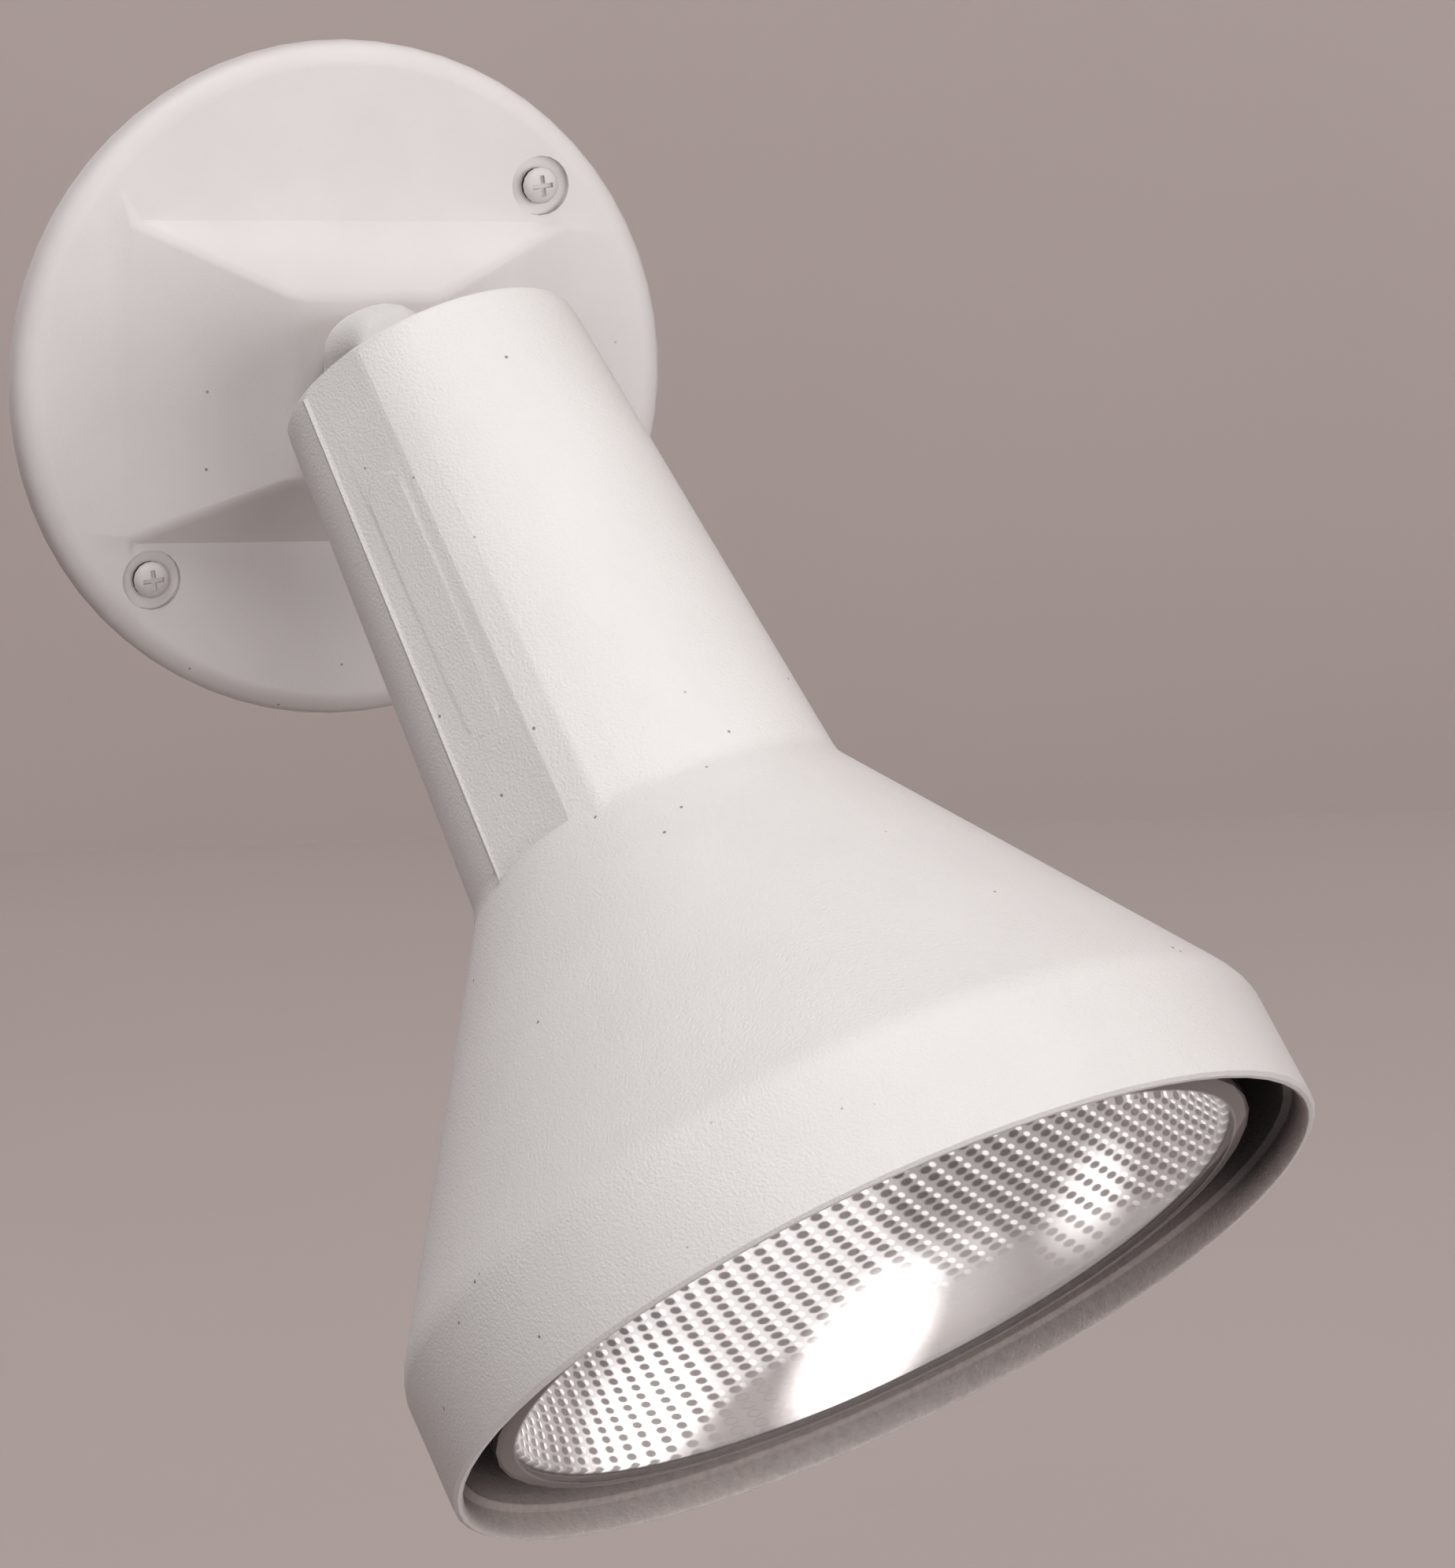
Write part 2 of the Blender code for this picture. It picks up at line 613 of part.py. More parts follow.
def build_lamp_glass(parts, axis, mirror, glass):
    """Pressed glass bowl with a mirrored inside and the clear front that closes it."""
    radii_outside = (57.0, 52.0, 45.0, 37.0, 29.0, 22.0)
    outside = [(LAMP_RIM_RADIUS, LAMP_RIM_TOP), (LAMP_RIM_RADIUS, 147.0), (59.3, 145.8)]
    outside += [(radius, bowl_height(radius)) for radius in radii_outside]
    outside += [(18.4, 70.2), (18.4, 54.0), (0.0, 54.0)]
    radii_inside = (10.0, 18.0, 26.0, 33.0, 40.0, 46.0, 51.0, 54.5)
    inside = [(0.0, 62.4)]
    inside += [(radius, 60.4 + 2.0 + (radius / 54.5) ** 2 * 83.4) for radius in radii_inside]
    inside += [(56.6, LAMP_RIM_TOP)]
    bowl = turned("lamp_reflector", outside + inside, parts, axis, closed=True)
    settled(bowl)
    finish(bowl, mirror)
    # The two faces of the front run side by side.
    crown = [(0.0, LAMP_CROWN), (22.0, LAMP_CROWN - 0.4), (42.0, LAMP_CROWN - 1.5), (56.5, LAMP_CROWN - 2.85)]
    lens_profile = crown + [
        (59.6, LAMP_CROWN - 3.2), (LAMP_RIM_RADIUS, LAMP_CROWN - 3.8), (LAMP_RIM_RADIUS, LAMP_RIM_TOP + 0.3),
    ]
    lens_profile += [(radius, height - LENS_THICKNESS) for radius, height in reversed(crown)]
    lens = settled(turned("lamp_lens", lens_profile, parts, axis, closed=False))
    finish(lens, glass)


def build_lamp_base(parts, axis, brass, ceramic):
    """Screw shell with its wide skirt, the insulator and the centre contact."""
    shell_profile = [
        (19.5, LAMP_SKIRT_TOP), (19.5, 48.4), (18.6, 47.4), (13.8, 46.8), (13.1, 46.0), (13.1, 26.0),
        (12.5, 25.1), (12.1, 25.1), (12.5, 26.3), (12.5, 46.4), (13.5, 47.3), (18.3, 47.9),
        (18.9, 48.8), (18.9, LAMP_SKIRT_TOP),
    ]
    shell = settled(turned("lamp_base_shell", shell_profile, parts, axis, steps=32))
    finish(shell, brass)
    insulator_profile = [
        (0.0, 25.4), (11.4, 25.4), (11.7, 24.8), (9.4, 22.6), (5.4, 21.0), (0.0, 20.9),
    ]
    insulator = settled(turned("lamp_base_insulator", insulator_profile, parts, axis, closed=False, steps=20))
    finish(insulator, ceramic)
    contact_profile = [(0.0, 20.6), (4.6, 20.6), (4.6, 20.3), (3.4, LAMP_TIP), (0.0, LAMP_TIP)]
    contact = settled(turned("lamp_base_contact", contact_profile, parts, axis, closed=False, steps=16))
    finish(contact, brass)


def build_burner(parts, axis, glass, steel):
    """Inner capsule on two bent support leads."""
    profile = [
        (0.0, 94.0), (2.4, 93.6), (4.6, 92.2), (5.8, 90.0), (6.2, 87.0), (6.2, 72.0),
        (5.6, 69.0), (4.4, 67.4), (4.4, 64.2), (0.0, 64.2),
    ]
    capsule = settled(turned("burner_capsule", profile, parts, axis, closed=False, steps=20))
    finish(capsule, glass)
    for side, sign in (("right", 1.0), ("left", -1.0)):
        curve = bpy.data.curves.new("burner_support_" + side, "CURVE")
        curve.dimensions = "3D"
        curve.bevel_depth = 0.7 * MM
        curve.bevel_resolution = 2
        curve.use_fill_caps = True
        path = curve.splines.new("POLY")
        stations = ((9.0, 66.5), (9.0, 84.0), (8.4, 86.0), (7.3, 87.5))
        path.points.add(len(stations) - 1)
        for point, (x, z) in zip(path.points, stations):
            point.co = (sign * x * MM, 0.0, z * MM, 1.0)
        lead = link("burner_support_" + side, curve, parts, axis)
        finish(lead, steel)


def make_axes(group):
    """Empties on the cover's axis, the swivel axis, the tilt axis and the lamp's axis."""
    axes = []
    for name in ("cover_axis", "swivel_axis", "tilt_axis", "lamp_axis"):
        axes.append(link(name, None, group))
    cover, swivel, tilt, lamp = axes
    cover.location = (0.0, 0.0, -ORIGIN_RADIUS * MM)
    cover.rotation_euler = (math.radians(90.0), 0.0, 0.0)
    swivel.location = (0.0, 0.0, -ORIGIN_RADIUS * MM)
    swivel.rotation_euler = (math.radians(90.0), -SWIVEL_ANGLE, 0.0)
    tilt.parent = swivel
    tilt.location = (0.0, 0.0, PIVOT_HEIGHT * MM)
    tilt.rotation_euler = (TILT_ANGLE, 0.0, 0.0)
    lamp.parent = tilt
    return axes


def main():
    """Build every piece."""
    clear_scene()
    parts = make_collection("floodlight")
    tools = make_collection("cutters")
    cover, swivel, tilt, lamp = make_axes(parts)
    white = paint("powder_coated_white", (0.78, 0.76, 0.74), 0.0, 0.55)
    screw_white = paint("painted_screw_white", (0.74, 0.72, 0.70), 0.0, 0.45)
    foam = paint("gasket_foam", (0.09, 0.09, 0.09), 0.0, 0.95)
    rubber = paint("seal_rubber", (0.03, 0.03, 0.03), 0.0, 0.7)
    steel = paint("zinc_plated_steel", (0.62, 0.62, 0.60), 1.0, 0.35)
    porcelain = paint("glazed_porcelain", (0.85, 0.84, 0.80), 0.0, 0.2)
    brass = paint("drawn_brass", (0.72, 0.55, 0.26), 1.0, 0.3)
    mirror = paint("aluminised_glass", (0.88, 0.88, 0.88), 1.0, 0.08)
    glass = paint("clear_glass", (0.95, 0.96, 0.96), 0.0, 0.02, alpha=0.35)
    ceramic = paint("black_glass", (0.02, 0.02, 0.02), 0.0, 0.15)
    bpy.context.view_layer.update()
    build_cover_plate(parts, tools, cover, white)
    build_cover_gasket(parts, tools, cover, foam)
    build_box_screws(parts, tools, cover, screw_white, rubber)
    build_stem_seal(parts, cover, rubber)
    build_swivel_arm(parts, tools, swivel, white)
    build_stem_nut(parts, tools, swivel, steel)
    build_head_housing(parts, tools, tilt, white)
    build_knuckle(parts, tools, tilt, steel, rubber)
    build_socket(parts, tools, tilt, porcelain, brass, steel, rubber)
    build_lamp_gasket(parts, tilt, rubber)
    build_lamp_glass(parts, lamp, mirror, glass)
    build_lamp_base(parts, lamp, brass, ceramic)
    build_burner(parts, lamp, glass, steel)


main()
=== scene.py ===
"""Finishes and studio for an outdoor floodlight on a round box cover.

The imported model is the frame: its nodes keep their shapes and places, and this script gives
each of them a smoothly shaded copy with its finish. It adds no piece of its own.
"""

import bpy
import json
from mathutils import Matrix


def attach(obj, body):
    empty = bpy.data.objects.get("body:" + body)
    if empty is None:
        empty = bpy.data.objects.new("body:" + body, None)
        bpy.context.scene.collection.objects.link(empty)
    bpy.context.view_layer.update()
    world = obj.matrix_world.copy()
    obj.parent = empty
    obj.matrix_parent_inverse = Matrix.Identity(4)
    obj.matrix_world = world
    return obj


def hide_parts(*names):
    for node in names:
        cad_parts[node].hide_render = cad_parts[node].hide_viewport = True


bl_info = {
    "name": "Outdoor Floodlight Dressing",
    "version": (1, 0, 0),
    "blender": (4, 5, 0),
    "location": "View3D > Sidebar > Floodlight",
    "description": "Finishes and studio for a swivelling outdoor floodlight",
    "category": "Object",
}

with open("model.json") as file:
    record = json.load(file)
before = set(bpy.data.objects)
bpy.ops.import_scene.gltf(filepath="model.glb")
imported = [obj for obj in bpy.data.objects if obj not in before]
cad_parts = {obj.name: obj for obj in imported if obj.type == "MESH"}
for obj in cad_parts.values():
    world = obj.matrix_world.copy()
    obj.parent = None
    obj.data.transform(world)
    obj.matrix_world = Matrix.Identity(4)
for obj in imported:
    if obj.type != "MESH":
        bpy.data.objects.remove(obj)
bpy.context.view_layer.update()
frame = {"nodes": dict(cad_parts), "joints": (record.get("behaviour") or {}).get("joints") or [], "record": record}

import json
import math

import bpy
from mathutils import Matrix, Vector

NODES = frame["nodes"]
JOINTS = {joint["name"]: joint for joint in frame["joints"]}
BODIES = frame["record"]["behaviour"]["bodies"]
BODY_OF = {node: body for body, members in BODIES.items() for node in members}
MM = 0.001
# Faces that meet at a smaller angle than this are shaded as one surface.
SMOOTH_ANGLE = math.radians(34.0)
# Corners closer together than this, in metres, become one.
MERGE_DISTANCE = 0.000002

# The lamp's own axes: Z runs from the pivot to the mouth, X is the tilt axis.
PIVOT = Vector(JOINTS["tilt"]["pos_m"])
LAMP_Z = Vector(JOINTS["lamp_unscrew"]["axis"]).normalized()
LAMP_X = Vector(JOINTS["tilt"]["axis"]).normalized()
LAMP_Y = LAMP_Z.cross(LAMP_X).normalized()
LAMP_TURN = Matrix((LAMP_X, LAMP_Y, LAMP_Z)).transposed()


def linear(text):
    """Turn an sRGB hex colour into linear RGBA."""
    values = []
    for start in (1, 3, 5):
        part = int(text[start:start + 2], 16) / 255.0
        values.append(part / 12.92 if part <= 0.04045 else ((part + 0.055) / 1.055) ** 2.4)
    return (*values, 1.0)


def add(tree, kind, settings=None, links=None):
    """Add a shader node, set its sockets and properties, and join sockets to it."""
    item = tree.nodes.new(kind)
    for key, value in (settings or {}).items():
        if isinstance(key, int) or key in item.inputs:
            item.inputs[key].default_value = value
        else:
            setattr(item, key, value)
    for key, source in (links or {}).items():
        tree.links.new(source, item.inputs[key])
    return item


def new_material(name):
    """Return an empty material's tree, its Principled shader and its object coordinates."""
    material = bpy.data.materials.new(name)
    material.use_nodes = True
    tree = material.node_tree
    shader = tree.nodes["Principled BSDF"]
    place = add(tree, "ShaderNodeTexCoord").outputs["Object"]
    return material, tree, shader, place


def smoothed_copy(name):
    """Copy a CAD node as one joined skin that is shaded smooth, and let it stand for the node."""
    node = NODES[name]
    piece = bpy.data.objects.new(name + "_finished", node.data.copy())
    bpy.context.scene.collection.objects.link(piece)
    bpy.ops.object.select_all(action="DESELECT")
    bpy.context.view_layer.objects.active = piece
    piece.select_set(True)
    bpy.ops.mesh.customdata_custom_splitnormals_clear()
    bpy.ops.object.mode_set(mode="EDIT")
    bpy.ops.mesh.select_all(action="SELECT")
    bpy.ops.mesh.remove_doubles(threshold=MERGE_DISTANCE)
    bpy.ops.mesh.select_all(action="DESELECT")
    bpy.ops.object.mode_set(mode="OBJECT")
    bpy.ops.object.shade_smooth_by_angle(angle=SMOOTH_ANGLE)
    # Large faces keep their own direction, so that the flats stay flat up to their edges.
    bpy.ops.object.modifier_add(type="WEIGHTED_NORMAL")
    piece.modifiers[0].keep_sharp = True
    bpy.ops.object.modifier_apply(modifier=piece.modifiers[0].name)
    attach(piece, BODY_OF[name])
    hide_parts(name)
    return piece


def dress(material, *names):
    """Finish CAD nodes with a material."""
    for name in names:
        piece = smoothed_copy(name)
        piece.data.materials.clear()
        piece.data.materials.append(material)


def grain_bump(tree, shader, place, scale, strength, distance, detail=2.0):
    """Fine relief from noise on the object's own coordinates."""
    noise = add(tree, "ShaderNodeTexNoise", {"Scale": scale, "Detail": detail}, {"Vector": place})
    bump = add(
        tree, "ShaderNodeBump", {"Strength": strength, "Distance": distance},
        {"Height": noise.outputs[0]},
    )
    tree.links.new(bump.outputs[0], shader.inputs["Normal"])


def two_tone(tree, shader, place, light, dark, scale):
    """Base colour that drifts between two tones."""
    noise = add(tree, "ShaderNodeTexNoise", {"Scale": scale, "Detail": 3.0}, {"Vector": place})
    ramp = add(tree, "ShaderNodeValToRGB", links={"Fac": noise.outputs[0]})
    ramp.color_ramp.elements[0].position = 0.35
    ramp.color_ramp.elements[0].color = linear(dark)
    ramp.color_ramp.elements[1].position = 0.65
    ramp.color_ramp.elements[1].color = linear(light)
    tree.links.new(ramp.outputs[0], shader.inputs["Base Color"])
    return ramp


class FloodlightLooks(bpy.types.PropertyGroup):
    """Colours and sizes that a user would change."""
    coat_tone: bpy.props.StringProperty(
        name="Coat colour", description="sRGB colour of the powder coat", default="#EFEDEC",
    )
    coat_shade: bpy.props.StringProperty(
        name="Coat shade", description="Darker tone that the coat drifts to",
        default="#ECEAE9",
    )
    cover_tone: bpy.props.StringProperty(
        name="Cover colour", description="sRGB colour of the cover's smoother coat",
        default="#E5E1E0",
    )
    cover_shade: bpy.props.StringProperty(
        name="Cover shade", description="Darker tone that the cover's coat drifts to",
        default="#E1DDDC",
    )
    grain: bpy.props.FloatProperty(
        name="Coat grain", description="Width of one grain of the housing's coat",
        default=0.00045, unit="LENGTH",
    )
    dimple_count: bpy.props.IntProperty(
        name="Dimples round", description="Dimples in one ring of the reflector", default=84,
    )
    dimple_pitch: bpy.props.FloatProperty(
        name="Dimple pitch", description="Distance between the rings of dimples",
        default=0.00129, unit="LENGTH",
    )
    glow: bpy.props.FloatProperty(
        name="Lamp glow", description="Strength of the burner's light", default=18.0,
    )


def looks():
    """The property group of the scene."""
    return bpy.context.scene.floodlight_looks


def lamp_coordinates(tree, place):
    """Angle, radius and depth of a point about the lamp's axis."""
    turned = add(
        tree, "ShaderNodeMapping",
        {"vector_type": "TEXTURE", "Location": PIVOT, "Rotation": LAMP_TURN.to_euler()},
        {"Vector": place},
    )
    split = add(tree, "ShaderNodeSeparateXYZ", links={0: turned.outputs[0]})
    angle = add(
        tree, "ShaderNodeMath", {"operation": "ARCTAN2"}, {0: split.outputs[1], 1: split.outputs[0]},
    )
    flat = add(tree, "ShaderNodeCombineXYZ", links={0: split.outputs[0], 1: split.outputs[1]})
    radius = add(tree, "ShaderNodeVectorMath", {"operation": "LENGTH"}, {0: flat.outputs[0]})
    return angle.outputs[0], radius.outputs["Value"], split.outputs[2]


def powder_coat(name, light, shade, grain, strength, dust=0.0):
    """Polyester powder coat baked on cast metal: a soft sheen over a fine even grain."""
    material, tree, shader, place = new_material(name)
    shader.inputs["Roughness"].default_value = 0.5
    shader.inputs["IOR"].default_value = 1.5
    shader.inputs["Specular IOR Level"].default_value = 0.4
    ramp = two_tone(tree, shader, place, light, shade, 55.0)
    grain_bump(tree, shader, place, 1.0 / grain, strength, 0.0002, 3.0)
    if dust:
        # Soot specks of up to half a millimetre caught in the coat, a few centimetres apart.
        cells = add(
            tree, "ShaderNodeTexVoronoi", {"Scale": 200.0, "Randomness": 1.0}, {"Vector": place},
        )
        speck = add(
            tree, "ShaderNodeMapRange",
            {"interpolation_type": "SMOOTHSTEP", "From Min": 0.075, "From Max": 0.03},
            {"Value": cells.outputs[0]},
        )
        some = add(tree, "ShaderNodeSeparateColor", links={0: cells.outputs["Color"]})
        chosen = add(
            tree, "ShaderNodeMath", {"operation": "LESS_THAN", 1: dust}, {0: some.outputs[0]},
        )
        share = add(
            tree, "ShaderNodeMath", {"operation": "MULTIPLY"},
            {0: speck.outputs[0], 1: chosen.outputs[0]},
        )
        mixed = add(
            tree, "ShaderNodeMix", {"data_type": "RGBA", 7: linear("#8F8684")},
            {0: share.outputs[0], 6: ramp.outputs[0]},
        )
        tree.links.new(mixed.outputs[2], shader.inputs["Base Color"])
    return material


# Tones of the skirt's inside by the distance from the pivot in metres: the grey of its thin spray, with painted
# shade that darkens it inwards to the gap at the lens, and a painted highlight along the ledge.
INSIDE_SPRAY_AND_SHADE_TONES = (
    (0.1380, "#4A4442"), (0.1495, "#857B79"), (0.1515, "#978D8A"), (0.1520, "#ACA29F"),
    (0.1526, "#A49A97"), (0.1550, "#B4AAA7"), (0.1564, "#C8BEBB"),
)


def inside_spray_with_painted_shade(tree, shader, place):
    """The skirt's inside, which the spray only dusted: the grey casting shows through, stained, under painted
    shade that darkens it inwards and at both ends of the mouth.
    """
    angle, radius, depth = lamp_coordinates(tree, place)
    # The outside of the skirt is farther from the axis than this.
    within = add(
        tree, "ShaderNodeMapRange",
        {"interpolation_type": "SMOOTHSTEP", "From Min": 0.0680, "From Max": 0.0676},
        {"Value": radius},
    )
    first, last = INSIDE_SPRAY_AND_SHADE_TONES[0][0], INSIDE_SPRAY_AND_SHADE_TONES[-1][0]
    deep = add(tree, "ShaderNodeMath", {"operation": "GREATER_THAN", 1: first}, {0: depth})
    share = add(
        tree, "ShaderNodeMath", {"operation": "MULTIPLY"},
        {0: within.outputs[0], 1: deep.outputs[0]},
    )
    along = add(
        tree, "ShaderNodeMapRange", {"From Min": first, "From Max": last}, {"Value": depth},
    )
    shade_bands = add(tree, "ShaderNodeValToRGB", links={"Fac": along.outputs[0]})
    elements = shade_bands.color_ramp.elements
    elements[0].color = linear(INSIDE_SPRAY_AND_SHADE_TONES[0][1])
    elements[1].color = linear(INSIDE_SPRAY_AND_SHADE_TONES[-1][1])
    for distance, tone in INSIDE_SPRAY_AND_SHADE_TONES[1:-1]:
        elements.new((distance - first) / (last - first)).color = linear(tone)
    # Dust and grains stuck in the thin coat.
    stain = add(
        tree, "ShaderNodeTexNoise", {"Scale": 800.0, "Detail": 4.0, "Roughness": 0.7},
        {"Vector": place},
    )
    worn = add(
        tree, "ShaderNodeMapRange",
        {"From Min": 0.3, "From Max": 0.7, "To Min": 0.86, "To Max": 1.14},
        {"Value": stain.outputs[0]},
    )
    # Painted shade: deep inside, next to the lens, both ends of the mouth are darkened.
    side = add(tree, "ShaderNodeMath", {"operation": "SINE"}, {0: angle})
    side = add(tree, "ShaderNodeMath", {"operation": "ABSOLUTE"}, {0: side.outputs[0]})
    painted_end_shade = add(
        tree, "ShaderNodeMapRange",
        {
            "interpolation_type": "SMOOTHSTEP", "From Min": 0.15, "From Max": 0.6,
            "To Min": 0.12, "To Max": 1.0,
        },
        {"Value": side.outputs[0]},
    )
    near = add(
        tree, "ShaderNodeMapRange",
        {"interpolation_type": "SMOOTHSTEP", "From Min": 0.1562, "From Max": 0.1525},
        {"Value": depth},
    )
    shaded = add(
        tree, "ShaderNodeMix", {"data_type": "FLOAT", "A": 1.0},
        {0: near.outputs[0], "B": painted_end_shade.outputs[0]},
    )
    kept = add(
        tree, "ShaderNodeMath", {"operation": "MULTIPLY"}, {0: worn.outputs[0], 1: shaded.outputs[0]},
    )
    grey = add(
        tree, "ShaderNodeVectorMath", {"operation": "SCALE"},
        {0: shade_bands.outputs[0], "Scale": kept.outputs[0]},
    )
    coat = shader.inputs["Base Color"].links[0].from_socket
    mixed = add(
        tree, "ShaderNodeMix", {"data_type": "RGBA"},
        {0: share.outputs[0], 6: coat, 7: grey.outputs[0]},
    )
    tree.links.new(mixed.outputs[2], shader.inputs["Base Color"])


class FLOODLIGHT_OT_coated_castings(bpy.types.Operator):
    """Coat the housing, the arm, the cover and its screws"""
    bl_idname = "floodlight.coated_castings"
    bl_label = "Coated castings"

    def execute(self, context):
        prefs = looks()
        # Coarse powder baked on the castings: its grain breaks up the sheen.
        coarse = powder_coat(
            "textured_powder_coat", prefs.coat_tone, prefs.coat_shade, prefs.grain, 0.8, 0.35,
        )
        # Fine powder baked on the cover: smoother, with fewer specks, and a little darker than the castings' coat.
        fine = powder_coat(
            "smooth_powder_coat", prefs.cover_tone, prefs.cover_shade, prefs.grain * 0.6, 0.15, 0.12,
        )
        # Steel screws painted white: a thin, clean and nearly even film.
        screw = powder_coat("painted_steel", "#DFDBDA", "#D8D4D3", 0.0009, 0.1)
        tree = coarse.node_tree
        place = next(item for item in tree.nodes if item.type == "TEX_COORD").outputs["Object"]
        # The skirt's inside gets a thin grey spray with painted shade.
        inside_spray_with_painted_shade(tree, tree.nodes["Principled BSDF"], place)
        dress(coarse, "head_housing", "swivel_arm")
        dress(fine, "cover_plate")
        dress(screw, "cover_screw_upper", "cover_screw_lower")
        return {"FINISHED"}


class FLOODLIGHT_OT_fittings(bpy.types.Operator):
    """Finish the seals, the hardware and the lampholder"""
    bl_idname = "floodlight.fittings"
    bl_label = "Seals, hardware and lampholder"

    def execute(self, context):
        # Compression moulded rubber: matt black with a dusty bloom.
        rubber, tree, shader, place = new_material("moulded_rubber")
        shader.inputs["Roughness"].default_value = 0.75
        two_tone(tree, shader, place, "#2B2A29", "#1C1B1B", 300.0)
        grain_bump(tree, shader, place, 1800.0, 0.2, 0.0001)
        dress(
            rubber, "screw_seal_upper", "screw_seal_lower", "stem_seal", "friction_washer_left",
            "friction_washer_right", "lead_grommet", "lamp_gasket",
        )
        # Die-cut closed cell foam: open pores on the cut faces.
        foam, tree, shader, place = new_material("closed_cell_foam")
        shader.inputs["Roughness"].default_value = 0.95
        two_tone(tree, shader, place, "#33312F", "#242322", 120.0)
        cells = add(tree, "ShaderNodeTexVoronoi", {"Scale": 1400.0}, {"Vector": place})
        bump = add(
            tree, "ShaderNodeBump", {"Strength": 0.6, "Distance": 0.0002}, {"Height": cells.outputs[0]},
        )
        tree.links.new(bump.outputs[0], shader.inputs["Normal"])
        dress(foam, "cover_gasket")
        # Bright zinc plate on steel: grey with a faint spangle and turned marks.
        zinc, tree, shader, place = new_material("zinc_plated_steel")
        shader.inputs["Metallic"].default_value = 1.0
        shader.inputs["Roughness"].default_value = 0.34
        two_tone(tree, shader, place, "#C9CAC6", "#A9AAA7", 700.0)
        grain_bump(tree, shader, place, 2500.0, 0.08, 0.0001)
        dress(
            zinc, "stem_locknut", "stem_lock_washer", "knuckle_screw", "socket_screw_left",
            "socket_screw_right", "burner_support_left", "burner_support_right",
        )
        # Glazed porcelain: warm white body under a glossy, slightly uneven glaze.
        glaze, tree, shader, place = new_material("glazed_porcelain")
        shader.inputs["Roughness"].default_value = 0.14
        shader.inputs["Coat Weight"].default_value = 0.5
        two_tone(tree, shader, place, "#F1EEE6", "#E6E2D8", 90.0)
        grain_bump(tree, shader, place, 160.0, 0.08, 0.0005)
        dress(glaze, "socket_body")
        # Drawn brass: warm yellow with fine draw lines.
        brass, tree, shader, place = new_material("drawn_brass")
        shader.inputs["Metallic"].default_value = 1.0
        shader.inputs["Roughness"].default_value = 0.28
        two_tone(tree, shader, place, "#D9B566", "#BE9448", 400.0)
        grain_bump(tree, shader, place, 1500.0, 0.1, 0.0001)
        dress(brass, "socket_shell", "socket_contact", "lamp_base_shell", "lamp_base_contact")
        # Black insulator glass pressed between the shell and the contact.
        black, tree, shader, place = new_material("black_insulator_glass")
        shader.inputs["Roughness"].default_value = 0.12
        two_tone(tree, shader, place, "#1A191B", "#0F0E10", 300.0)
        dress(black, "lamp_base_insulator")
        return {"FINISHED"}


# Degrees round the lamp towards which the bowl's painted reflection of the burner is brightest.
BRIGHT_SIDE = -92.0
# Degrees round the lamp where the bowl's edge without dimples is widest.
PLAIN_SIDE = -68.0
# Each ring of dimples is turned a little further than the one behind it, in dimples.
RING_TURN = 0.16


def dimple_cells(tree, angle, depth, prefs):
    """Place of a point within its dimple's cell, from 0 to 1 round and along the bowl."""
    ring = add(tree, "ShaderNodeMath", {"operation": "DIVIDE", 1: prefs.dimple_pitch}, {0: depth})
    column = add(
        tree, "ShaderNodeMath", {"operation": "MULTIPLY", 1: prefs.dimple_count / math.tau}, {0: angle},
    )
    column = add(
        tree, "ShaderNodeMath", {"operation": "MULTIPLY_ADD", 1: -RING_TURN},
        {0: ring.outputs[0], 2: column.outputs[0]},
    )
    joined = add(tree, "ShaderNodeCombineXYZ", links={0: column.outputs[0], 1: ring.outputs[0]})
    cell = add(tree, "ShaderNodeVectorMath", {"operation": "FRACTION"}, {0: joined.outputs[0]})
    return cell.outputs[0]


def cell_spot(tree, cell, centre, half):
    """Soft oval spot in every cell: 1 at its centre and 0 from its edge outwards."""
    scaled = add(
        tree, "ShaderNodeMapping",
        {"vector_type": "TEXTURE", "Location": (*centre, 0.0), "Scale": (*half, 1.0)},
        {"Vector": cell},
    )
    away = add(tree, "ShaderNodeVectorMath", {"operation": "LENGTH"}, {0: scaled.outputs[0]})
    spot = add(
        tree, "ShaderNodeMapRange",
        {"interpolation_type": "SMOOTHSTEP", "From Min": 1.0, "From Max": 0.55},
        {"Value": away.outputs["Value"]},
    )
    return spot.outputs[0]


# Painted reflections of the burner near the bowl's rim: degrees round the lamp, distance from the pivot, half
# length and half width in metres, degrees of tilt, strength.
PAINTED_BURNER_REFLECTIONS = (
    (-79.0, 0.1452, 0.0105, 0.0045, -24.0, 5.0),
    (-64.0, 0.1440, 0.0110, 0.0056, -20.0, 0.35),
)
PAINTED_SIDE_REFLECTIONS = (
    (-122.0, 0.1450, 0.0105, 0.0065, -20.0, 2.4),
    (-31.0, 0.1428, 0.0085, 0.0034, -14.0, 1.7),
)
# Radius at which the painted reflections' degrees are turned into a distance round the bowl.
BOWL_RADIUS = 0.052


